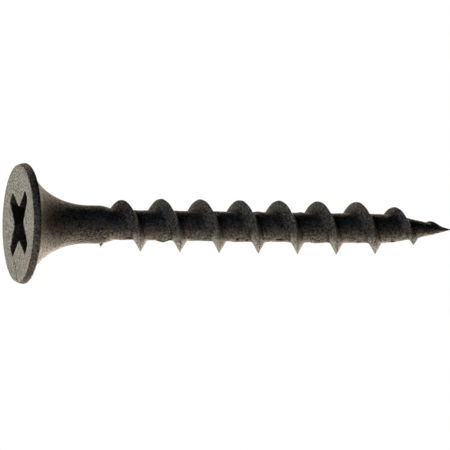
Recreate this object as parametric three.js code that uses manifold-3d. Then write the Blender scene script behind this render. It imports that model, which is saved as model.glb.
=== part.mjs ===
// A wood screw with a bugle head, a cross recess of size 2 and a coarse right-hand thread.
// Units are millimetres. The origin is the centre of the flat head face. +Z points out of the
// head along the axis, so the screw reaches down to its point at z = -length. Places along the
// screw are given as a depth below the head face, which is -z. A real one is cold-headed and
// thread-rolled from one length of wire, so it is one closed body here too.

import * as THREE from "three";
import { ParametricGeometry } from "three/addons/geometries/ParametricGeometry.js";
import { mergeVertices } from "three/addons/utils/BufferGeometryUtils.js";
import Module from "manifold-3d";

// Overall size
const length = 31.2; // head face to point
const headDiameter = 8.2; // at the widest ring of the rim

// Head
const faceBevel = 0.1; // how far the face's edge is inside the widest ring
const rimDepth = 0.42; // depth of the widest ring
const lipRadius = 0.16; // round between the rim and the underside
const flareDepth = 5.0; // depth at which the underside runs into the shank
const flareArc = 75; // degrees of the quarter ellipse that the underside follows

// Shank, core and point
const shankDiameter = 2.6;
const shankEnd = 5.75; // depth at which the shank begins to narrow to the core
const neckLength = 1.3; // length over which it narrows
const coreDiameter = 2.04;
const pointLength = 5.65;
const pointFullness = 1.6; // 1 is a straight cone, 2 is a parabola

// Thread
const threadDiameter = 3.64; // across the crests
const pitch = 25.4 / 9; // nine turns to the inch
const threadAngle = 60; // degrees between the two flanks
const crestWidth = 0.05; // small flat that is left on the crest
const threadStart = 6.0; // depth at which the crest comes out of the shank
const threadTurn = 165; // degrees from +X of the crest at threadStart
const startDiameter = 3.24; // across the crest after a first, steep rise
const quickRise = 0.04; // length of that rise
const slowRise = 3.0; // length over which the crest then grows to its full size
const runOut = 6; // distance from the point at which the crest begins to fade
const barePoint = 0.7; // length of bare point that is left below the thread

// Cross recess
const recessSpan = 5.3; // across two opposite wings at the face
const wingWidth = 0.9; // of a wing's end at the face
const wingWidthDeep = 0.75; // of a wing's end at its bottom
const notchRadius = 1.1; // from the axis to the corner between two wings at the face
const notchRadiusDeep = 0.62; // the same at the wings' bottom
const wingDepth = 2.9;
const recessWall = 0.525; // steel left between a wing's lower end and the underside
const coneDepth = 0.35; // of the shallow cone below the wings
const recessTurn = 48; // degrees from +X to the first wing

// Fineness of the facets
const aroundAxis = 40; // facets round the axis
const perTurn = 30; // steps of the thread in one turn
const lipSteps = 3;
const flareSteps = 12;
const neckSteps = 5;
const pointSteps = 12;
const overshoot = 0.5; // how far the recess's cutter stands out of the face

const { clamp, degToRad, lerp, smoothstep } = THREE.MathUtils;

const wasm = await Module();
wasm.setup();

// The underside of the head follows part of a quarter ellipse that ends along the shank. It
// starts at the bottom of the lip, on the inside of the lip's round.
const flareTurn = degToRad(flareArc);
const lipBottom = rimDepth + lipRadius;
const flareInnerRadius = headDiameter / 2 - lipRadius;
const flareReach = (flareInnerRadius - shankDiameter / 2) / (1 - Math.cos(flareTurn));
const flareHeight = (flareDepth - lipBottom) / Math.sin(flareTurn);

// Radius of the underside at a depth.
function flareRadius(depth) {
  const up = Math.max(0, flareDepth - depth) / flareHeight;
  return shankDiameter / 2 + flareReach * (1 - Math.sqrt(1 - up ** 2));
}

// Radius of the shank, neck, core and point at a depth below the flare.
function coreRadius(depth) {
  const narrowing = smoothstep(depth, shankEnd, shankEnd + neckLength);
  const bar = lerp(shankDiameter, coreDiameter, narrowing) / 2;
  const fromTip = clamp((length - depth) / pointLength, 0, 1);
  return bar * (1 - (1 - fromTip) ** pointFullness);
}

// Radius of the thread's crest at a depth: a steep rise out of the shank, a slow rise to the
// full diameter over about one turn, and a height above the core that fades evenly to the point.
function crestRadius(depth) {
  const steep = clamp((depth - threadStart) / quickRise, 0, 1);
  const slow = clamp((depth - threadStart - quickRise) / slowRise, 0, 1);
  const start = lerp(shankDiameter, startDiameter, steep) / 2;
  const full = start + (slow * (threadDiameter - startDiameter)) / 2;
  const fromTip = clamp((length - barePoint - depth) / (runOut - barePoint), 0, 1);
  return lerp(coreRadius(depth), full, fromTip);
}

// Turns a closed three.js geometry into a solid. Corners that meet are merged, and triangles
// that have shrunk to a line, as at the tip of a loft, are left out.
function solidOf(geometry) {
  geometry.deleteAttribute("normal");
  geometry.deleteAttribute("uv");
  const merged = mergeVertices(geometry, 1e-5);
  const corners = merged.index.array;
  const triangles = [];
  for (let i = 0; i < corners.length; i += 3) {
    const [a, b, c] = corners.slice(i, i + 3);
    if (a !== b && b !== c && c !== a) triangles.push(a, b, c);
  }
  return new wasm.Manifold(
    new wasm.Mesh({
      numProp: 3,
      vertProperties: new Float32Array(merged.attributes.position.array),
      triVerts: new Uint32Array(triangles),
    }),
  );
}

// Turns a solid back into a three.js geometry.
function geometryOf(solid) {
  const mesh = solid.getMesh();
  const geometry = new THREE.BufferGeometry();
  geometry.setAttribute("position", new THREE.Float32BufferAttribute(mesh.vertProperties, 3));
  geometry.setIndex(Array.from(mesh.triVerts));
  geometry.computeVertexNormals();
  return geometry;
}

// A closed solid through rings that all have the same number of points. The first and the last
// ring have shrunk to one point each.
function loft(rings) {
  const sides = rings[0].length;
  const surface = (u, v, target) => {
    const ring = rings[Math.round(v * (rings.length - 1))];
    target.copy(ring[Math.round(u * sides) % sides]);
  };
  return solidOf(new ParametricGeometry(surface, sides, rings.length - 1));
}

// Outline of the head as [radius, depth] pairs, from the centre of the face to the shank.
function headOutline() {
  const rim = headDiameter / 2;
  const outline = [[0, 0], [rim - faceBevel, 0], [rim, rimDepth]];
  for (let i = 1; i < lipSteps; i += 1) {
    const angle = degToRad((90 * i) / lipSteps);
    const inward = lipRadius * (1 - Math.cos(angle));
    outline.push([rim - inward, rimDepth + lipRadius * Math.sin(angle)]);
  }
  for (let i = 0; i <= flareSteps; i += 1) {
    const depth = flareDepth - flareHeight * Math.sin(flareTurn * (1 - i / flareSteps));
    outline.push([flareRadius(depth), depth]);
  }
  return outline;
}

// Outline of the shank's neck, the core and the point, down to the tip on the axis.
function shaftOutline() {
  const outline = [];
  for (let i = 0; i <= neckSteps; i += 1) {
    const depth = shankEnd + (neckLength * i) / neckSteps;
    outline.push([coreRadius(depth), depth]);
  }
  for (let i = 0; i < pointSteps; i += 1) {
    const depth = length - pointLength * (1 - i / pointSteps);
    outline.push([coreRadius(depth), depth]);
  }
  outline.push([0, length]);
  return outline;
}

// The head, shank, core and point, turned round the axis.
function blank() {
  const outline = [...headOutline(), ...shaftOutline()];
  const profile = outline.map(([radius, depth]) => new THREE.Vector2(radius, -depth));
  const turned = new THREE.LatheGeometry(profile.reverse(), aroundAxis);
  return solidOf(turned.rotateX(Math.PI / 2));
}

// One section of the thread: a ridge with its foot inside the core and its two flanks at the
// thread's angle, in the plane through the axis at an angle in degrees from +X.
function threadSection(depth, turn) {
  const foot = coreRadius(depth) / 2;
  const crest = crestRadius(depth);
  const slope = Math.tan(degToRad(threadAngle / 2));
  const spread = crestWidth / 2 + (crest - foot) * slope;
  const section = [
    [foot, -spread],
    [crest, -crestWidth / 2],
    [crest, crestWidth / 2],
    [foot, spread],
  ];
  const axis = new THREE.Vector3(0, 0, 1);
  return section.map(([radius, lift]) =>
    new THREE.Vector3(radius, 0, lift - depth).applyAxisAngle(axis, degToRad(turn)),
  );
}

// The thread. It is right-handed: seen from above the head it turns clockwise as it goes down,
// so the angle from +X falls as the depth grows.
function thread() {
  const depthRange = length - barePoint - threadStart;
  const steps = Math.round((depthRange / pitch) * perTurn);
  const rings = [];
  for (let i = 0; i <= steps; i += 1) {
    const travel = (depthRange * i) / steps;
    rings.push(threadSection(threadStart + travel, threadTurn - (360 * travel) / pitch));
  }
  const close = (ring) => ring.map(() => ring[0]);
  return loft([close(rings[0]), ...rings.slice(1, -1), close(rings.at(-1))]);
}

// The recess's outline at a depth: for each wing the two corners of its end, and then the
// corner between it and the next wing.
function recessRing(depth) {
  const share = depth / wingDepth;
  const end = lerp(recessSpan / 2, flareRadius(wingDepth) - recessWall, share);
  const side = lerp(wingWidth, wingWidthDeep, share) / 2;
  const notch = lerp(notchRadius, notchRadiusDeep, share);
  const axis = new THREE.Vector3(0, 0, 1);
  const ring = [];
  for (const turn of [0, 90, 180, 270]) {
    const wing = [
      new THREE.Vector3(end, -side, -depth),
      new THREE.Vector3(end, side, -depth),
      new THREE.Vector3(notch, 0, -depth).applyAxisAngle(axis, degToRad(45)),
    ];
    ring.push(...wing.map((corner) => corner.applyAxisAngle(axis, degToRad(recessTurn + turn))));
  }
  return ring;
}

// The shape that is cut out of the head: four tapered wings over a shallow cone.
function recess() {
  const top = recessRing(-overshoot);
  const bottom = recessRing(wingDepth);
  const above = new THREE.Vector3(0, 0, overshoot);
  const tip = new THREE.Vector3(0, 0, -wingDepth - coneDepth);
  return loft([bottom.map(() => tip), bottom, top, top.map(() => above)]);
}

const phosphate = new THREE.MeshStandardMaterial({
  color: 0x3b3a37,
  roughness: 0.7,
  metalness: 0.5,
});

const screw = new THREE.Mesh(geometryOf(blank().add(thread()).subtract(recess())), phosphate);
screw.name = "screw";

const part = new THREE.Group();
part.name = "wood_screw";
part.add(screw);

export default part;
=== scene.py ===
# %% [markdown]
# # A wood screw, close up
#
# The real thing is one length of steel wire. A die forges its end into a flared head, a punch
# presses the cross recess into the head, two flat dies roll the thread into the other end and
# pinch it to a point, and a bath grows a matt coat of phosphate crystals over all of it.
#
# So there is one piece to make here, and it is a surface that we can work out with numpy: rings
# round the axis for the head and the point, and rows that climb with the thread in between.
# This first cell loads the fixed frame. The screw's axis is Z, the head's flat face lies at
# z = 0 and looks up, and the point hangs below it.

# %% Load the fixed frame
import math

import bpy
import numpy as np
from mathutils import Matrix, Vector


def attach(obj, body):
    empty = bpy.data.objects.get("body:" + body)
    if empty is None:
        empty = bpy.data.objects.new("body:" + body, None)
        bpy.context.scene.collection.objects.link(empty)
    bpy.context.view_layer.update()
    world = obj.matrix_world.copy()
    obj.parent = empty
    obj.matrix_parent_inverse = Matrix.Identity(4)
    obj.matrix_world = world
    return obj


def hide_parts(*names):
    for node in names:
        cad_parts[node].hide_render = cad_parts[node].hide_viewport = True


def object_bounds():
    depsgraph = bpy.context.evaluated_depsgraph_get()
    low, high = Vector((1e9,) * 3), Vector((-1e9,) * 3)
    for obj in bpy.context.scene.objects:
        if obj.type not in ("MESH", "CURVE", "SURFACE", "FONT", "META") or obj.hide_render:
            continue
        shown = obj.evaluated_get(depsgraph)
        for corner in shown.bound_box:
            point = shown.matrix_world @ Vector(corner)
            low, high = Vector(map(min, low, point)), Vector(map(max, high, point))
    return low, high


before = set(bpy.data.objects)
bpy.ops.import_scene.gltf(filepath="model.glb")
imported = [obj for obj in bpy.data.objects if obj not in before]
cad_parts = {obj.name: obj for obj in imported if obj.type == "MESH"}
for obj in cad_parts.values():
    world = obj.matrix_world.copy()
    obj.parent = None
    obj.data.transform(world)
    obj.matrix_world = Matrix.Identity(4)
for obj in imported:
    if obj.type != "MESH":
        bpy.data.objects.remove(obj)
cad_low, cad_high = [list(corner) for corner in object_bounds()]
MM = 0.001
length = -cad_low[2] / MM
rim_radius = cad_high[0] / MM
print(f"screw {length:.2f} mm long, head {2 * rim_radius:.2f} mm across")

# %% [markdown]
# ## Sizes
#
# All sizes below are in millimetres, and a depth is a distance below the head's face. The length
# and the head's radius come from the frame. The other sizes are the screw's own: a number 6
# gauge with nine turns to the inch. Keeping them in one place makes the later cells short.

# %% Sizes of the screw
face_bevel = 0.1  # the face's edge is this much inside the widest ring
face_edge = 0.05  # radius of the round at the face's edge
rim_depth = 0.42  # depth of the widest ring
lip_radius = 0.16  # round between the rim and the underside
flare_depth = 5.0  # the underside runs into the shank here
flare_arc = math.radians(75)  # part of a quarter ellipse that the underside follows

shank_radius = 1.30
shank_end = 5.75
neck_length = 1.3
core_bar_radius = 1.02
point_length = 5.65
point_fullness = 1.6  # 1 is a cone, 2 is a parabola

thread_radius = 1.82
pitch = 25.4 / 9
flank_half_angle = math.radians(30)
thread_start = 6.0
thread_turn = math.radians(165)  # where round the axis the crest is at thread_start
start_radius = 1.62  # of the crest after its first steep rise
quick_rise = 0.04
slow_rise = 3.0
run_out = 6.0
bare_point = 0.7

recess_span = 5.3
wing_width = 0.9
wing_width_deep = 0.75
notch_radius = 1.1
notch_radius_deep = 0.62
wing_depth = 2.9
recess_wall = 0.525  # steel left between a wing's lower end and the underside
cone_depth = 0.35
face_dish = 0.06  # how far the punch has drawn the face down round the recess
dish_from = 2.2  # radius out to which the face has its full dish
recess_turn = math.radians(48)
recess_edge = 0.07  # radius of the worn round round the recess's mouth

# %% [markdown]
# ## Round the axis
#
# Every ring has the same number of points, so that the rings join up into plain quads. The
# number is set by the recess: each of its four wings takes 8 columns across its end and 12
# along each flank, which is 128 in all. Column 0 starts at a corner of a wing's end.

# %% Columns round the axis
end_columns = 8
flank_columns = 12
columns = 4 * (end_columns + 2 * flank_columns)
column = np.arange(columns)
step = 2 * math.pi / columns
around = recess_turn + step * (column - end_columns / 2)
print(f"{columns} columns, {math.degrees(step):.2f} degrees apart")


def rise(x, low, high):
    """0 below low and 1 above high, and between them 3 t^2 - 2 t^3 with t = (x - low) / (high - low)."""
    t = np.clip((x - low) / (high - low), 0, 1)
    return t * t * (3 - 2 * t)


def ring_points(radius, depth):
    """Rings of points for a profile: x = r cos a, y = r sin a, z = -depth, for every column a."""
    radius, depth = np.broadcast_arrays(np.asarray(radius)[:, None], np.asarray(depth)[:, None])
    ones = np.ones(columns)
    return np.stack(
        [radius * np.cos(around), radius * np.sin(around), -depth * ones], axis=-1
    )


# %% [markdown]
# ## The recess
#
# A cross recess of size 2 is a cross with four tapered wings. Cutting it out with a boolean
# would leave long thin triangles on the face. Instead its mouth is an outline with the same
# number of points as every ring, and the wall is the straight surface between the mouth and a
# smaller outline at the bottom. The corners are rounded by averaging each point with its
# neighbours, as a worn punch rounds them.

# %% Outline of the recess
def recess_outline(end, side, notch):
    """A closed cross with `columns` points: straight stretches between the two corners
    (end, -side) and (end, side) of each wing's end and the notch at 45 degrees to the wing,
    turned by 0, 90, 180 and 270 degrees, then smoothed twice with weights 1/4, 1/2, 1/4."""
    wing = np.array([end - 1j * side, end + 1j * side, notch * np.exp(0.25j * math.pi)])
    corners = (wing[None, :] * 1j ** np.arange(4)[:, None]).ravel()
    stretch = np.tile([end_columns, flank_columns, flank_columns], 4)
    knots = np.concatenate([[0], np.cumsum(stretch)])
    closed = np.append(corners, corners[0])
    outline = np.interp(column, knots, closed.real) + 1j * np.interp(column, knots, closed.imag)
    for _ in range(2):
        outline = 0.5 * outline + 0.25 * (np.roll(outline, 1) + np.roll(outline, -1))
    outline = outline * np.exp(1j * recess_turn)
    return np.stack([outline.real, outline.imag], axis=-1)


flare_reach = (rim_radius - lip_radius - shank_radius) / (1 - math.cos(flare_arc))
flare_height = (flare_depth - rim_depth - lip_radius) / math.sin(flare_arc)


def flare_radius(depth):
    """Radius of the underside, s + w (1 - sqrt(1 - u^2)) with u = (flare depth - depth) / height."""
    u = (flare_depth - depth) / flare_height
    return shank_radius + flare_reach * (1 - math.sqrt(1 - u * u))


mouth = recess_outline(recess_span / 2, wing_width / 2, notch_radius)
bottom_end = flare_radius(wing_depth) - recess_wall
bottom = recess_outline(bottom_end, wing_width_deep / 2, notch_radius_deep)
print("recess spans", round(2 * np.hypot(*mouth.T).max(), 2), "mm at its mouth")


# %% [markdown]
# The rows of the head run from the middle of the recess outwards: up its cone, up its wall, over
# the worn edge and across the face. Each row is a blend of two outlines, so a whole stretch is
# one line of numpy. The face's last ring is a plain circle, where the turned profile begins.

# %% Rows of the recess and the face
def blend_rows(first, last, shares):
    """Rows (1 - s) * first + s * last for every s in shares, as an array of rows, columns, 3."""
    s = np.asarray(shares)[:, None, None]
    return (1 - s) * first + s * last


def at_depth(outline, depth):
    """Lays a flat outline at a depth below the face."""
    return np.column_stack([outline, np.full(columns, -depth)])


def grown(outline, offset):
    """Moves each point along the outline's own normal, which is its tangent turned by -90 degrees."""
    tangent = np.roll(outline, -1, axis=0) - np.roll(outline, 1, axis=0)
    tangent = tangent / np.linalg.norm(tangent, axis=1, keepdims=True)
    return outline + offset * np.column_stack([tangent[:, 1], -tangent[:, 0]])


cone_tip = np.tile([0.0, 0.0, -wing_depth - cone_depth], (columns, 1))
floor_rows = blend_rows(cone_tip, at_depth(bottom, wing_depth), np.linspace(0.15, 1, 7))
wall_rows = blend_rows(
    at_depth(bottom, wing_depth), at_depth(mouth, recess_edge), np.linspace(0, 1, 16)[1:]
)
edge_angles = np.linspace(0, math.pi / 2, 5)[1:]
edge_rows = np.stack(
    [
        at_depth(grown(mouth, recess_edge * (1 - math.cos(a))), recess_edge * (1 - math.sin(a)))
        for a in edge_angles
    ]
)
face_radius = rim_radius - face_bevel
face_circle = ring_points([face_radius - face_edge], [0.0])[0]
face_rows = blend_rows(edge_rows[-1], face_circle, np.linspace(0, 1, 17)[1:])
for rows in (wall_rows, edge_rows, face_rows):
    near_mouth = 1 - rise(np.hypot(rows[..., 0], rows[..., 1]), dish_from, face_radius - face_edge)
    rows[..., 2] -= face_dish * near_mouth * rise(rows[..., 2], -0.5, 0)
print("recess and face rows:", len(floor_rows) + len(wall_rows) + len(edge_rows) + len(face_rows))


# %% [markdown]
# ## The turned profile of the head
#
# From the edge of the face on, the head is a body of revolution. Its profile is four simple
# curves, one after the other: a small round at the face's edge, a rim that leans out a little,
# a lip, and the flared underside that gives this head its name. The underside is most of a
# quarter ellipse that ends along the shank, so there is no kink where they meet.

# %% Profile of the head
def head_profile():
    """Radius and depth of: edge r = R - e (1 - sin a), d = e (1 - cos a); rim r = R + b sin(pi t / 2);
    lip r = R' - l (1 - cos a), d = D + l sin a; underside r = s + w (1 - cos a), d = F - h sin a."""
    quarter = np.linspace(0, math.pi / 2, 5)[1:]
    edge = (face_radius - face_edge * (1 - np.sin(quarter)), face_edge * (1 - np.cos(quarter)))
    t = np.linspace(0, 1, 7)[1:]
    rim = (face_radius + face_bevel * np.sin(t * math.pi / 2), face_edge + (rim_depth - face_edge) * t)
    lip_bend = np.linspace(0, math.pi / 2, 7)[1:-1]
    lip = (rim_radius - lip_radius * (1 - np.cos(lip_bend)), rim_depth + lip_radius * np.sin(lip_bend))
    a = np.linspace(flare_arc, 0, 37)
    flare = (shank_radius + flare_reach * (1 - np.cos(a)), flare_depth - flare_height * np.sin(a))
    return np.concatenate([edge, rim, lip, flare], axis=1)


head_rows = ring_points(*head_profile())
print("head profile rows:", len(head_rows))


# %% [markdown]
# ## Core and crest
#
# Two curves along the axis say everything about the threaded part: how thick the steel is
# between the turns, and how far out the crest stands. Both are functions of the depth alone. The
# crest comes steeply out of the shank, takes about one more turn to reach its full height, and
# fades again over the point, where the dies had less metal to push up.

# %% Core and crest along the axis
def core_radius(depth):
    """bar * (1 - (1 - s)^n): bar falls from the shank's to the core's radius over the neck, and
    s is the distance from the tip over the point's length, at most 1."""
    narrowing = rise(depth, shank_end, shank_end + neck_length)
    bar = shank_radius + (core_bar_radius - shank_radius) * narrowing
    s = np.clip((length - depth) / point_length, 0, 1)
    return bar * (1 - (1 - s) ** point_fullness)


def crest_radius(depth):
    """core + (wanted - core) * f: wanted rises in two straight stretches, and f falls evenly
    from 1 to 0 over the run-out before the bare point."""
    steep = np.clip((depth - thread_start) / quick_rise, 0, 1)
    slow = np.clip((depth - thread_start - quick_rise) / slow_rise, 0, 1)
    start = shank_radius + (start_radius - shank_radius) * steep
    wanted = start + (thread_radius - start_radius) * slow
    f = np.clip((length - bare_point - depth) / (run_out - bare_point), 0, 1)
    core = core_radius(depth)
    return core + (wanted - core) * f


for depth in (4.0, 8.0, 16.0, 28.0, 30.5):
    print(f"depth {depth:4.1f}: core {core_radius(depth):.2f}, crest {crest_radius(depth):.2f}")

# %% [markdown]
# ## The threaded surface
#
# Seen along the axis at one place round it, the thread is a row of V-shaped ridges. The phase
# counts turns of the thread: it grows with the depth and with the angle round the axis, and it
# is a whole number on the crest. The distance from the nearest crest then gives the V, and a
# soft maximum of the V and the core leaves a small fillet at its foot.
#
# Rolled threads aren't perfect. The dies squeeze metal up between the turns and fold it over, so
# low laps and shallow furrows run along the roots. They are sums of a few waves here. Each wave
# has a whole number of crests round the axis, so nothing jumps where the first and the last
# column meet. Single folds, the ones that catch the eye, are listed one by one: each is a short slit
# or a swelling with its own place, size and height.

# %% Folds between the turns
slits = np.array(
    [  # depth, degrees from +X, half length, half width, how deep
        (5.95, 215, 0.07, 0.160, 0.05),
        (7.75, 208, 0.26, 0.075, 0.08),
        (8.62, 214, 0.06, 0.300, 0.05),
        (10.66, 198, 0.18, 0.085, 0.09),
        (13.10, 212, 0.14, 0.070, 0.07),
        (15.45, 210, 0.08, 0.150, 0.08),
        (16.15, 205, 0.08, 0.140, 0.08),
        (18.50, 211, 0.30, 0.080, 0.09),
        (21.30, 207, 0.14, 0.075, 0.07),
        (24.20, 209, 0.20, 0.070, 0.07),
        (26.80, 206, 0.22, 0.075, 0.07),
        (28.10, 204, 0.24, 0.070, 0.08),
        (12.70, 95, 0.25, 0.060, 0.06),
        (17.40, 40, 0.20, 0.060, 0.06),
        (22.60, 310, 0.22, 0.055, 0.06),
    ]
)
swellings = np.array(
    [  # depth, degrees from +X, half length, half width, how high
        (10.25, 182, 0.38, 0.35, 0.10),
        (15.80, 180, 0.55, 0.40, 0.045),
        (21.50, 180, 0.60, 0.40, 0.045),
        (19.60, 60, 0.45, 0.35, 0.06),
    ]
)


def marks(table, depth, angle):
    """Sum over a table of height * exp(-(dz / length)^4 - (r da / width)^2), with da the angle
    between a point and the mark, the short way round."""
    total = np.zeros(depth.shape)
    for mark_depth, degrees, half_length, half_width, height in table:
        turned = (angle - math.radians(degrees) + math.pi) % (2 * math.pi) - math.pi
        along = (depth - mark_depth) / half_length
        across = core_bar_radius * turned / half_width
        total += height * np.exp(-(along**4) - across**2)
    return total


# %% Radius of the threaded surface
crest_round = 0.02
crest_waver = 0.012  # how far the crest's height wanders
root_fillet = 0.09
highest_lap = 0.033
deepest_furrow = 0.024
unevenness = 0.006
tip_half_angle = math.radians(62)  # the dies pinch the last turn wide
tip_widens = (28.9, 30.2)  # depths between which it grows wide
full_height = 0.35  # a thread this high has its whole fillet and its laps


def thread_phase(depth, angle):
    """(depth - start) / pitch + (angle - turn) / 2 pi, a whole number along the crest."""
    return (depth - thread_start) / pitch + (angle - thread_turn) / (2 * math.pi)


def from_crest(depth, angle):
    """Distance along the axis from the nearest crest: pitch * (phase - nearest whole number)."""
    phase = thread_phase(depth, angle)
    return pitch * (phase - np.round(phase))


def rolling_marks(depth, angle):
    """Laps and furrows between the turns: gaussian ridges exp(-((x - c) / w)^2) that run along
    the root and come and go as sin(m * angle + k * depth) does, and a faint unevenness."""
    x = from_crest(depth, angle) % pitch / pitch
    lap_height = highest_lap * rise(np.sin(2 * angle + 1.9 * depth + 0.6), -0.1, 1)
    lap = lap_height * np.exp(-(((x - 0.52 - 0.05 * np.sin(3 * angle + depth)) / 0.055) ** 2))
    furrow_depth = deepest_furrow * rise(np.sin(3 * angle - 2.6 * depth + 2.0), 0, 1)
    furrow = furrow_depth * np.exp(-(((x - 0.3 + 0.03 * np.sin(5 * angle)) / 0.03) ** 2))
    uneven = np.sin(3 * angle + 4.1 * depth) + np.sin(5 * angle - 6.3 * depth + 1.9)
    folds = marks(swellings, depth, angle) - marks(slits, depth, angle)
    return lap - furrow + unevenness * uneven + folds


def threaded_radius(depth, angle):
    """Soft maximum (a + b + sqrt((a - b)^2 + f^2)) / 2 of the marked core a and the ridge
    b = crest - (sqrt(x^2 + e^2) - e) / tan(half angle), with a fillet f that fades with the crest
    and a half angle that widens at the tip."""
    x = from_crest(depth, angle)
    crest = crest_radius(depth - x)
    height = crest - core_radius(depth - x)
    present = rise(height, 0, full_height) * rise(depth, thread_start, shank_end + neck_length)
    core = core_radius(depth) + present * rolling_marks(depth, angle)
    waves = np.sin(7 * angle + 2.3 * depth) * np.sin(4 * angle - 3.1 * depth)
    waver = crest_waver * rise(height, 0.2, 0.7) * waves
    pinched = rise(depth - x, *tip_widens)
    half_angle = flank_half_angle + (tip_half_angle - flank_half_angle) * pinched
    ridge = crest + waver - (np.hypot(x, crest_round) - crest_round) / np.tan(half_angle)
    fillet = root_fillet * rise(height, 0, full_height)
    return (core + ridge + np.sqrt((core - ridge) ** 2 + fillet**2)) / 2


# %% [markdown]
# ## Rows that climb with the thread
#
# A crest that crosses the rows of a grid at a slant comes out as a row of small steps. So here
# the rows follow the helix. Along a row the phase stays the same, and after one trip round the
# axis the row has climbed by one pitch and meets the row that began a turn before it. Rows lie
# close together on the crest and its flanks, and further apart on the plain steel between.
#
# At both ends of the thread the climbing rows have to end in a flat ring. Each point that would
# lie past the ring is put on the ring's own point in that column, and the quads that this
# shrinks to a triangle or a line are sorted out afterwards.

# %% Climbing rows
first_ring_depth = 5.3
last_ring_depth = length - bare_point
ring_margin = 0.012
half_turn = np.concatenate(
    [
        np.linspace(0, 0.016, 4)[:-1],
        np.linspace(0.016, 0.15, 9)[:-1],
        np.linspace(0.15, 0.21, 5)[:-1],
        np.linspace(0.21, 0.5, 12),
    ]
)
one_turn = np.concatenate([half_turn, 1 - half_turn[-2:0:-1]])
rows_per_turn = len(one_turn)
first_turn = math.floor(thread_phase(first_ring_depth, around[0]))
last_turn = math.ceil(thread_phase(last_ring_depth, around[-1]))
row_phase = (np.arange(first_turn, last_turn + 1)[:, None] + one_turn).ravel()
climb_depth = thread_start + pitch * (
    row_phase[:, None] - (around - thread_turn)[None, :] / (2 * math.pi)
)
before = climb_depth < first_ring_depth + ring_margin
after = climb_depth > last_ring_depth - ring_margin
climb_angle = np.broadcast_to(around, climb_depth.shape)
climb_radius = threaded_radius(climb_depth, climb_angle)
climb_rows = np.stack(
    [climb_radius * np.cos(climb_angle), climb_radius * np.sin(climb_angle), -climb_depth], axis=-1
)
print(f"{rows_per_turn} rows in a turn, {len(row_phase)} climbing rows")

# %% Rings above and below the thread
bar_depth = np.linspace(flare_depth, first_ring_depth, 5)[1:]
bar_rows = ring_points(core_radius(bar_depth), bar_depth)
tip_depth = length - bare_point * np.linspace(1, 0.05, 12) ** 1.3
tip_rows = ring_points(core_radius(tip_depth), tip_depth)
top_rings = np.concatenate([floor_rows, wall_rows, edge_rows, face_rows, head_rows, bar_rows])
print(f"{len(top_rings)} rings above the thread, {len(tip_rows)} below it")

# %% [markdown]
# ## One closed mesh
#
# Now every point gets a number. The numbers lie in a table of rows and columns just as the
# points do, so the corners of all quads are four shifted copies of that table. Going round
# closes a ring on itself, and closes a climbing row on the row one turn before it.

# %% Number the points
ring_count = len(top_rings) * columns
climb_start = 1 + ring_count
tip_start = climb_start + climb_depth.size
pole = 0
tip_pole = tip_start + tip_rows.shape[0] * columns
top_ids = 1 + np.arange(ring_count).reshape(-1, columns)
tip_ids = tip_start + np.arange(tip_rows.shape[0] * columns).reshape(-1, columns)
climb_ids = climb_start + np.arange(climb_depth.size).reshape(climb_depth.shape)
climb_ids = np.where(before, top_ids[-1], np.where(after, tip_ids[0], climb_ids))
ids = np.concatenate(
    [np.full((1, columns), pole), top_ids, climb_ids, tip_ids, np.full((1, columns), tip_pole)]
)

next_ids = np.roll(ids, -1, axis=1)
climb_from = 1 + len(top_ids)
turn_before = np.full(len(climb_ids), top_ids[-1, 0])
turn_before[rows_per_turn:] = climb_ids[:-rows_per_turn, 0]
next_ids[climb_from : climb_from + len(climb_ids), -1] = turn_before
print(f"{tip_pole + 1} numbered points")

# %% Corners of the faces
quads = np.stack([ids[:-1], ids[1:], next_ids[1:], next_ids[:-1]], axis=-1).reshape(-1, 4)
left_gone = quads[:, 0] == quads[:, 1]
right_gone = quads[:, 2] == quads[:, 3]
at_pole = quads[:, 0] == quads[:, 3]
at_tip = quads[:, 1] == quads[:, 2]
triangles = np.concatenate(
    [
        quads[left_gone & ~right_gone][:, [0, 2, 3]],
        quads[right_gone & ~left_gone][:, [0, 1, 2]],
        quads[at_pole][:, [0, 1, 2]],
        quads[at_tip][:, [0, 1, 3]],
    ]
)
quads = quads[~left_gone & ~right_gone & ~at_pole & ~at_tip]
used, place = np.unique(np.concatenate([quads.ravel(), triangles.ravel()]), return_inverse=True)
quads = place[: quads.size].reshape(-1, 4)
triangles = place[quads.size :].reshape(-1, 3)
print(f"{len(quads)} quads and {len(triangles)} triangles on {len(used)} points")

# %% [markdown]
# The same order of points serves for what the finish needs to know. Phosphate rubs off first
# where the steel stands proud, so each point carries a number for how exposed it is: on the
# crest, on the edge of the face and round the mouth of the recess. A second number says where
# shade is painted into the colour: at the foot of the flanks, in the slits and down in the recess.

# %% How exposed each point is, and where shade is painted
def along_profile(rows, value):
    """One value for each row of rings, repeated for every column."""
    return np.repeat(np.broadcast_to(value, (len(rows),))[:, None], columns, axis=1)


crest_band = 0.055  # width of the rubbed band on the crest
foot_shade_band = 0.07  # width of the band of painted shade at the foot of a flank
edge_band = 0.06  # width of the rubbed bands on the rim
rubbed_tip = (29.6, 30.6)  # depths between which the tip gets rubbed
tip_exposed = 0.9

climb_offset = from_crest(climb_depth, climb_angle)
climb_height = crest_radius(climb_depth - climb_offset) - core_radius(climb_depth)
standing = rise(climb_height, 0.05, 0.4)
climb_exposed = standing * np.exp(-((climb_offset / crest_band) ** 2))
climb_exposed = np.maximum(climb_exposed, tip_exposed * rise(climb_depth, *rubbed_tip))
flank_foot = climb_height * math.tan(flank_half_angle)
# Shade is painted at the foot of each flank and in the slits, where the turns and the folds shadow the
# steel.
foot_shade = 0.5 * standing * np.exp(-(((np.abs(climb_offset) - flank_foot) / foot_shade_band) ** 2))
slit_shade = rise(marks(slits, climb_depth, climb_angle), 0.01, 0.05)
climb_painted_shade = np.maximum(foot_shade, slit_shade)

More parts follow.
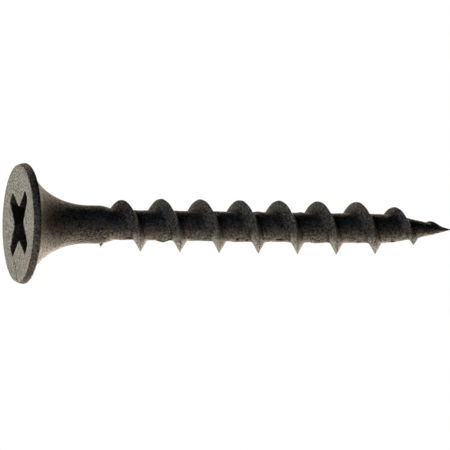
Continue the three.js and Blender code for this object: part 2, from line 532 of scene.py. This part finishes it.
profile_depth = head_profile()[1]
from_lip = profile_depth - rim_depth - 0.1
profile_exposed = np.exp(-((profile_depth / edge_band) ** 2))
profile_exposed = profile_exposed + 0.5 * np.exp(-((from_lip / edge_band) ** 2))
exposed = np.concatenate(
    [
        along_profile(floor_rows, 0.0),
        along_profile(wall_rows, 0.0),
        along_profile(edge_rows, np.linspace(0.3, 1, len(edge_rows))),
        along_profile(face_rows, np.exp(-((np.arange(len(face_rows)) - len(face_rows)) ** 2) / 2.0)),
        along_profile(head_rows, profile_exposed),
        along_profile(bar_rows, 0.0),
        climb_exposed,
        along_profile(tip_rows, tip_exposed),
    ]
)
# Painted shade: full on the recess's floor, a little less up its wall, none on the face and the head.
painted_shade = np.concatenate(
    [
        along_profile(floor_rows, 1.0),
        along_profile(wall_rows, np.linspace(1, 0.8, len(wall_rows))),
        along_profile(edge_rows, 0.0),
        along_profile(face_rows, 0.0),
        along_profile(head_rows, 0.0),
        along_profile(bar_rows, 0.0),
        climb_painted_shade,
        along_profile(tip_rows, 0.0),
    ]
)
exposed = np.concatenate([[0.0], exposed.ravel(), [0.0]])[used]
painted_shade = np.concatenate([[1.0], painted_shade.ravel(), [0.0]])[used]
print(f"{np.mean(exposed > 0.5):.1%} of the points are exposed, {np.mean(painted_shade > 0.5):.1%} sheltered")

# %% [markdown]
# The arrays can go into Blender now. The points are listed in the order in which they were
# numbered, and the two numbers for the finish become attributes of the mesh, so that the
# material can read them.

# %% Put the screw into Blender
points = np.concatenate(
    [
        cone_tip[:1],
        top_rings.reshape(-1, 3),
        climb_rows.reshape(-1, 3),
        tip_rows.reshape(-1, 3),
        [[0.0, 0.0, -length]],
    ]
)[used]
screw_mesh = bpy.data.meshes.new("steel_screw")
screw_mesh.from_pydata((points * MM).tolist(), [], quads.tolist() + triangles.tolist())
screw_mesh.polygons.foreach_set("use_smooth", np.ones(len(screw_mesh.polygons), dtype=bool))
for name, values in (("exposed", exposed), ("painted_shade", painted_shade)):
    attribute = screw_mesh.attributes.new(name, "FLOAT", "POINT")
    attribute.data.foreach_set("value", values.astype(np.float32))
screw_mesh.update()
screw = bpy.data.objects.new("steel_screw", screw_mesh)
bpy.context.collection.objects.link(screw)
print("faces:", len(screw_mesh.polygons), "- any that Blender had to drop:", screw_mesh.validate())

# %% [markdown]
# Steel has no holes, so the surface must be closed. On a closed surface every edge belongs to
# exactly two faces. An edge with one face is the border of a hole, and an edge with three is a
# stray wall. Counting them all is quick, and it is a sharper test than looking.

# %% Is it closed?
sides = [
    np.roll(corners, -turn, axis=1)[:, :2]
    for corners in (quads, triangles)
    for turn in range(corners.shape[1])
]
edges, faces_at = np.unique(np.sort(np.concatenate(sides), axis=1), axis=0, return_counts=True)
print(f"{len(edges)} edges, {np.sum(faces_at == 1)} open, {np.sum(faces_at > 2)} with over two faces")

# %% [markdown]
# ## The phosphate coat
#
# Phosphated steel is neither painted nor polished. The bath leaves a felt of small crystals, so
# the colour is a dark, slightly green grey with paler grains in it, the surface is matt, and it
# catches a little light at a grazing angle. Three effects make it: crystals, scratches and wear.
# Each is a node group with named inputs, so that its values can be tried out in one place.

# %% Helpers for node groups
def new_group(name, inputs, outputs):
    """A shader node group with float or colour sockets; returns it with its two end nodes."""
    group = bpy.data.node_groups.new(name, "ShaderNodeTree")
    for label, kind, value in inputs:
        socket = group.interface.new_socket(label, in_out="INPUT", socket_type=kind)
        if value is not None:
            socket.default_value = value
    for label, kind in outputs:
        group.interface.new_socket(label, in_out="OUTPUT", socket_type=kind)
    start = group.nodes.new("NodeGroupInput")
    end = group.nodes.new("NodeGroupOutput")
    return group, start, end


def put(tree, kind, **sockets):
    """Adds a node, sets the values or links that are given by socket name, and returns it."""
    node = tree.nodes.new(kind)
    for label, value in sockets.items():
        socket = node.inputs[label.replace("_", " ")]
        if isinstance(value, bpy.types.NodeSocket):
            tree.links.new(value, socket)
        else:
            socket.default_value = value
    return node


def spread(tree, value, low, high, to_low=0.0, to_high=1.0):
    """Maps value from low..high to to_low..to_high, and holds it there outside."""
    node = tree.nodes.new("ShaderNodeMapRange")
    tree.links.new(value, node.inputs["Value"])
    for label, number in zip(("From Min", "From Max", "To Min", "To Max"), (low, high, to_low, to_high)):
        node.inputs[label].default_value = number
    return node.outputs["Result"]


def mixed(tree, share, first, second, mode="MIX"):
    """Mixes two colours by share, from 0 for the first to 1 for the second."""
    node = tree.nodes.new("ShaderNodeMix")
    node.data_type = "RGBA"
    node.blend_type = mode
    for socket, value in ((node.inputs[0], share), (node.inputs[6], first), (node.inputs[7], second)):
        if isinstance(value, bpy.types.NodeSocket):
            tree.links.new(value, socket)
        else:
            socket.default_value = value
    return node.outputs[2]


def arithmetic(tree, operation, first, second):
    """One Math node on two values or links."""
    node = tree.nodes.new("ShaderNodeMath")
    node.operation = operation
    for socket, value in zip(node.inputs, (first, second)):
        if isinstance(value, bpy.types.NodeSocket):
            tree.links.new(value, socket)
        else:
            socket.default_value = value
    return node.outputs[0]


# %% [markdown]
# ** Crystals.** Two sizes of noise make the felt: grains of about a tenth of a millimetre, and
# clouds of about a millimetre where the bath took better or worse. Cells of the grain's size do
# two more jobs. Their domes go into the bump, because they are what scatters the light, and the
# few cells that drew a high random number are painted bright, as the painted glint of single crystals.

# %% Crystal group
def crystal_group():
    """Outputs Grain, Cloud and Sparkle, all 0 to 1, and Height for the bump. Sparkle marks the cells that
    the colour paints bright as glints.
    """
    group, start, end = new_group(
        "phosphate_crystals",
        [
            ("Vector", "NodeSocketVector", None),
            ("Grain Size", "NodeSocketFloat", 0.0001),
            ("Cloud Size", "NodeSocketFloat", 0.001),
        ],
        [
            ("Grain", "NodeSocketFloat"),
            ("Cloud", "NodeSocketFloat"),
            ("Sparkle", "NodeSocketFloat"),
            ("Height", "NodeSocketFloat"),
        ],
    )
    vector = start.outputs["Vector"]
    grain_scale = arithmetic(group, "DIVIDE", 1.0, start.outputs["Grain Size"])
    cloud_scale = arithmetic(group, "DIVIDE", 1.0, start.outputs["Cloud Size"])
    grain = put(group, "ShaderNodeTexNoise", Vector=vector, Scale=grain_scale, Detail=1.5, Roughness=0.5)
    cloud = put(group, "ShaderNodeTexNoise", Vector=vector, Scale=cloud_scale, Detail=3.0, Roughness=0.6)
    cells = put(group, "ShaderNodeTexVoronoi", Vector=vector, Scale=grain_scale)
    grain_value = spread(group, grain.outputs["Fac"], 0.37, 0.63)
    dome = spread(group, cells.outputs["Distance"], 0.1, 0.8, 1.0, 0.0)
    lucky = spread(group, cells.outputs["Color"], 0.68, 0.8)
    height = arithmetic(group, "ADD", grain_value, arithmetic(group, "MULTIPLY", dome, 0.6))
    group.links.new(grain_value, end.inputs["Grain"])
    group.links.new(spread(group, cloud.outputs["Fac"], 0.35, 0.65), end.inputs["Cloud"])
    group.links.new(arithmetic(group, "MULTIPLY", lucky, dome), end.inputs["Sparkle"])
    group.links.new(height, end.inputs["Height"])
    return group


crystals = crystal_group()
print("crystal group:", len(crystals.nodes), "nodes")

# %% [markdown]
# **Scratch.** A crease or a scratch is a line of a given width from one point to another. Its
# mask falls with the distance from that line, so it is as sharp as wanted however coarse the mesh.

# %% Scratch group
def scratch_group():
    """Output Mask: 1 on the line from From to To, falling to 0 at Width from it. With
    t = (p - a).(b - a) / (b - a).(b - a), held to 0..1, the distance is |p - a - t (b - a)|."""
    group, start, end = new_group(
        "scratch",
        [
            ("Vector", "NodeSocketVector", None),
            ("From", "NodeSocketVector", None),
            ("To", "NodeSocketVector", None),
            ("Width", "NodeSocketFloat", 0.0001),
        ],
        [("Mask", "NodeSocketFloat")],
    )

    def vectors(operation, first, second, output="Vector"):
        node = group.nodes.new("ShaderNodeVectorMath")
        node.operation = operation
        group.links.new(first, node.inputs[0])
        group.links.new(second, node.inputs[1])
        return node.outputs[output]

    line = vectors("SUBTRACT", start.outputs["To"], start.outputs["From"])
    place = vectors("SUBTRACT", start.outputs["Vector"], start.outputs["From"])
    along = vectors("DOT_PRODUCT", place, line, "Value")
    whole = vectors("DOT_PRODUCT", line, line, "Value")
    share = spread(group, arithmetic(group, "DIVIDE", along, whole), 0.0, 1.0)
    distance = vectors("DISTANCE", place, vectors("MULTIPLY", line, share), "Value")
    near = arithmetic(group, "DIVIDE", distance, start.outputs["Width"])
    group.links.new(spread(group, near, 0.0, 1.0, 1.0, 0.0), end.inputs["Mask"])
    return group


scratch = scratch_group()
print("scratch group:", len(scratch.nodes), "nodes")

# %% [markdown]
# **Wear.** Where the coat has rubbed, the colour turns paler and browner, and not evenly: the
# exposed number that each point carries is broken up by the grains before it is used.

# %% Wear group
def wear_group():
    """Output Wear: 0 to 1, the exposed number cut by a noise so that it comes in patches."""
    group, start, end = new_group(
        "rubbed_edges",
        [
            ("Exposed", "NodeSocketFloat", 0.0),
            ("Breakup", "NodeSocketFloat", 0.5),
            ("Amount", "NodeSocketFloat", 1.0),
        ],
        [("Wear", "NodeSocketFloat")],
    )
    broken_up = spread(group, start.outputs["Breakup"], 0.1, 0.9, 0.35, 1.2)
    broken = arithmetic(group, "MULTIPLY", start.outputs["Exposed"], broken_up)
    patches = spread(group, broken, 0.25, 0.85)
    group.links.new(arithmetic(group, "MULTIPLY", patches, start.outputs["Amount"]), end.inputs["Wear"])
    return group


rubbed = wear_group()
print("wear group:", len(rubbed.nodes), "nodes")


# %% [markdown]
# Handling leaves a few marks on a screw. This one has a long crease that runs from a wing of the
# recess to the rim, and a short nick beside it. Both are joined up from the scratch group, one
# copy of it for each straight piece, and the largest mask wins where two pieces meet.

# %% Scratches on the face
crease = [(-2.19, 1.31), (-3.05, 0.50), (-4.00, -0.14)]  # from a wing of the recess to the rim
nick = [(-3.35, 1.35), (-2.95, 1.75)]
crease_width, nick_width = 0.11 * MM, 0.07 * MM


def scratches(tree, vector, points, width):
    """The largest mask of the scratches that join the given points of the face, in millimetres."""
    masks = []
    for first, second in zip(points[:-1], points[1:]):
        node = tree.nodes.new("ShaderNodeGroup")
        node.node_tree = scratch
        tree.links.new(vector, node.inputs["Vector"])
        node.inputs["From"].default_value = (first[0] * MM, first[1] * MM, 0)
        node.inputs["To"].default_value = (second[0] * MM, second[1] * MM, 0)
        node.inputs["Width"].default_value = width
        masks.append(node.outputs["Mask"])
    largest = masks[0]
    for mask in masks[1:]:
        largest = arithmetic(tree, "MAXIMUM", largest, mask)
    return largest


print("scratches on the face:", len(crease) + len(nick) - 2, "straight pieces")

# %% [markdown]
# Now the effects come together. The colour is built up in layers: the dark coat with pale grains,
# a brown cast in the clouds, single crystals painted bright as glints, rubbed steel where the coat
# has gone, and painted shade last, near black in the recess, the slits, the foot of the flanks and
# the scratches. Values that are the same all over are set on the shader itself.

# %% The coat's material
def phosphate_steel():
    """Principled BSDF with a matt, partly metallic grey, grains, clouds, painted glints, rubbed edges,
    and painted shade in the recess, the slits, the foot of the flanks and the scratches.
    """
    material = bpy.data.materials.new("phosphate_steel")
    material.use_nodes = True
    tree = material.node_tree
    shader = tree.nodes["Principled BSDF"]
    coordinates = tree.nodes.new("ShaderNodeTexCoord")
    felt = tree.nodes.new("ShaderNodeGroup")
    felt.node_tree = crystals
    tree.links.new(coordinates.outputs["Object"], felt.inputs["Vector"])
    felt.inputs["Grain Size"].default_value = 0.00012
    felt.inputs["Cloud Size"].default_value = 0.0011
    exposed_value = tree.nodes.new("ShaderNodeAttribute")
    exposed_value.attribute_name = "exposed"
    painted_shade_value = tree.nodes.new("ShaderNodeAttribute")
    painted_shade_value.attribute_name = "painted_shade"
    wear = tree.nodes.new("ShaderNodeGroup")
    wear.node_tree = rubbed
    tree.links.new(exposed_value.outputs["Fac"], wear.inputs["Exposed"])
    tree.links.new(felt.outputs["Grain"], wear.inputs["Breakup"])
    wear.inputs["Amount"].default_value = 0.5

    dark = (0.020, 0.021, 0.021, 1)
    pale = (0.185, 0.188, 0.175, 1)
    brown = (0.160, 0.122, 0.098, 1)
    # The next colour is painted onto random crystal cells as bright specks, a painted glint.
    crystal = (0.42, 0.42, 0.40, 1)
    # The next colour is near black. It is painted as shade into the recess, the slits, the foot of the
    # flanks and the scratches.
    painted_shade_colour = (0.010, 0.009, 0.009, 1)
    rubbed_steel = (0.30, 0.25, 0.215, 1)
    colour = mixed(tree, felt.outputs["Grain"], dark, pale)
    colour = mixed(tree, spread(tree, felt.outputs["Cloud"], 0.5, 1.0, 0.0, 0.5), colour, brown)
    # Painted glint: random crystal cells are painted brighter.
    colour = mixed(tree, arithmetic(tree, "MULTIPLY", felt.outputs["Sparkle"], 0.5), colour, crystal)
    colour = mixed(tree, wear.outputs["Wear"], colour, rubbed_steel)
    # Painted shade: the recess, the slits and the foot of the flanks are painted near black.
    colour = mixed(tree, spread(tree, painted_shade_value.outputs["Fac"], 0.1, 0.9, 0.0, 0.9), colour, painted_shade_colour)
    creased = scratches(tree, coordinates.outputs["Object"], crease, crease_width)
    nicked = scratches(tree, coordinates.outputs["Object"], nick, nick_width)
    scratched = arithmetic(tree, "MAXIMUM", creased, nicked)
    # The crease and the nick are painted near black in the colour, as painted shade in their grooves.
    colour = mixed(tree, arithmetic(tree, "MULTIPLY", scratched, 0.9), colour, painted_shade_colour)
    height = arithmetic(tree, "SUBTRACT", felt.outputs["Height"], scratched)
    tree.links.new(colour, shader.inputs["Base Color"])
    roughness = spread(tree, felt.outputs["Grain"], 0, 1, 0.67, 0.50)
    roughness = arithmetic(tree, "ADD", roughness, arithmetic(tree, "MULTIPLY", scratched, 0.25))
    tree.links.new(roughness, shader.inputs["Roughness"])
    metallic = spread(tree, wear.outputs["Wear"], 0, 1, 0.5, 0.8)
    # Where shade is painted, the steel is also made fully metallic, so the near-black colour reflects
    # little and stays dark.
    metallic = arithmetic(tree, "MAXIMUM", metallic, painted_shade_value.outputs["Fac"])
    tree.links.new(metallic, shader.inputs["Metallic"])
    bump = put(tree, "ShaderNodeBump", Height=height, Strength=0.7, Distance=0.00002)
    tree.links.new(bump.outputs["Normal"], shader.inputs["Normal"])
    return material


screw_mesh.materials.append(phosphate_steel())
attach(screw, "root")
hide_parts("screw")
print("material:", screw_mesh.materials[0].name)

# %% [markdown]
# ## Floor, light and camera
#
# The screw is a small dark thing on a bright white ground. To the camera the floor and the sky
# are plain white, but they throw no light back onto the steel: with white all round, a dark screw
# turns to grey fog. All its light comes from a few soft panels instead. The floor stands for a
# light table, so it is white by itself and lets the light of a panel below it pass.

# %% Floor and sky
def white_sky():
    """A world that is plain white to the camera and dark to everything else: its strength is 1
    for camera rays and 0 for all others."""
    world = bpy.data.worlds.new("studio")
    world.use_nodes = True
    tree = world.node_tree
    tree.nodes.clear()
    sky = put(tree, "ShaderNodeBackground", Color=(1, 1, 1, 1))
    output = tree.nodes.new("ShaderNodeOutputWorld")
    tree.links.new(sky.outputs[0], output.inputs["Surface"])
    path = tree.nodes.new("ShaderNodeLightPath")
    tree.links.new(path.outputs["Is Camera Ray"], sky.inputs["Strength"])
    bpy.context.scene.world = world


def white_floor(half=20.0, gap=0.02):
    """A level square, 2 * half metres wide, just below the point."""
    z = (-length - gap) * MM
    corners = [(-half, -half, z), (half, -half, z), (half, half, z), (-half, half, z)]
    mesh = bpy.data.meshes.new("floor")
    mesh.from_pydata(corners, [], [(0, 1, 2, 3)])
    table = bpy.data.materials.new("light_table")
    table.use_nodes = True
    tree = table.node_tree
    tree.nodes.clear()
    glow = put(tree, "ShaderNodeEmission", Color=(1, 1, 1, 1))
    output = tree.nodes.new("ShaderNodeOutputMaterial")
    tree.links.new(glow.outputs[0], output.inputs["Surface"])
    mesh.materials.append(table)
    floor = bpy.data.objects.new("floor", mesh)
    bpy.context.collection.objects.link(floor)
    floor.visible_diffuse = False
    floor.visible_glossy = False
    floor.visible_shadow = False
    return floor


white_sky()
white_floor()
bpy.context.scene.view_settings.view_transform = "Standard"
print("floor at z =", round(-length, 2), "mm")

# %% [markdown]
# **Panels.** Each panel is an area light that faces the middle of the screw. Its place is given as
# a bearing round the screw's axis, from +X towards +Y, and a height above or below the level of
# the screw's middle. The camera is at bearing -90. Nearly all the light comes from behind, because
# that is what gives small dark hardware its shape: a surface shows bright only where it turns away
# from us, along the lower edges, in the flare and on the face, which catches light at a grazing
# angle. The strong panels lean towards -X and their weaker twins towards +X, so that the upper
# side stays dark. Two faint panels on the near side keep the rest from going black.

# %% Soft panels
middle = Vector((0, 0, -length / 2 * MM))
panel_distance = 0.30
panel_size = 0.20
cream = (1.0, 0.95, 0.80)
warm = (1.0, 0.85, 0.68)
cool = (0.70, 0.80, 1.0)


def panel(name, bearing, height, power, colour):
    """A square area light at middle + distance * (cos b cos h, sin b cos h, sin h), for a bearing
    b and a height h in degrees, turned to face the middle."""
    light = bpy.data.lights.new(name, "AREA")
    light.shape = "SQUARE"
    light.size = panel_size
    light.energy = power
    light.color = colour
    holder = bpy.data.objects.new(name, light)
    bpy.context.collection.objects.link(holder)
    b, h = math.radians(bearing), math.radians(height)
    towards = Vector((math.cos(b) * math.cos(h), math.sin(b) * math.cos(h), math.sin(h)))
    holder.location = middle + panel_distance * towards
    holder.rotation_mode = "QUATERNION"
    holder.rotation_quaternion = towards.to_track_quat("Z", "Y")
    holder.visible_camera = False
    return holder


panels = [  # name, bearing and height in degrees, power in watts, colour
    ("behind_head", 110, 25, 0.65, cream),
    ("behind_point", 120, -35, 0.90, warm),
    ("below", 180, -30, 0.40, warm),
    ("behind_point_twin", 65, -35, 0.35, warm),
    ("behind_head_twin", 50, 10, 0.15, warm),
    ("over_head", 90, 80, 0.50, cream),
    ("near_head", -90, 45, 0.15, cool),
    ("near_below", -155, 35, 0.20, warm),
]
for panel_row in panels:
    panel(*panel_row)
print(len(panels), "panels,", round(sum(row[3] for row in panels), 2), "W in all")

# %% [markdown]
# **Camera.** The screw lies across the picture with its head at the left, so the camera is
# turned on its side: its right is the way down the screw, and its up is +X. It looks from the
# side of -Y and a little from above the head, from far away through a long lens, and it is
# rolled by less than a degree. The lens is as long as it takes to see a strip of the given width
# at the head's distance.

# %% Camera
head_tilt = math.radians(17.5)
roll = math.radians(0.84)
camera_distance = 396.0
view_width = 30.52
head_right, head_up = -14.05, 0.11

level_right = Vector((0, -math.sin(head_tilt), -math.cos(head_tilt)))
level_up = Vector((1, 0, 0))
forward = Vector((0, math.cos(head_tilt), -math.sin(head_tilt)))
right = math.cos(roll) * level_right + math.sin(roll) * level_up
up = math.cos(roll) * level_up - math.sin(roll) * level_right
place = -(head_right * right + head_up * up + camera_distance * forward) * MM

lens = bpy.data.cameras.new("camera")
lens.sensor_width = 36.0
lens.lens = lens.sensor_width * camera_distance / view_width
lens.clip_start, lens.clip_end = 0.01, 100.0
camera = bpy.data.objects.new("camera", lens)
bpy.context.collection.objects.link(camera)
turned = Matrix((right, up, -forward)).transposed().to_4x4()
camera.matrix_world = Matrix.Translation(place) @ turned
bpy.context.scene.camera = camera
print(f"lens {lens.lens:.0f} mm at {camera_distance:.0f} mm")
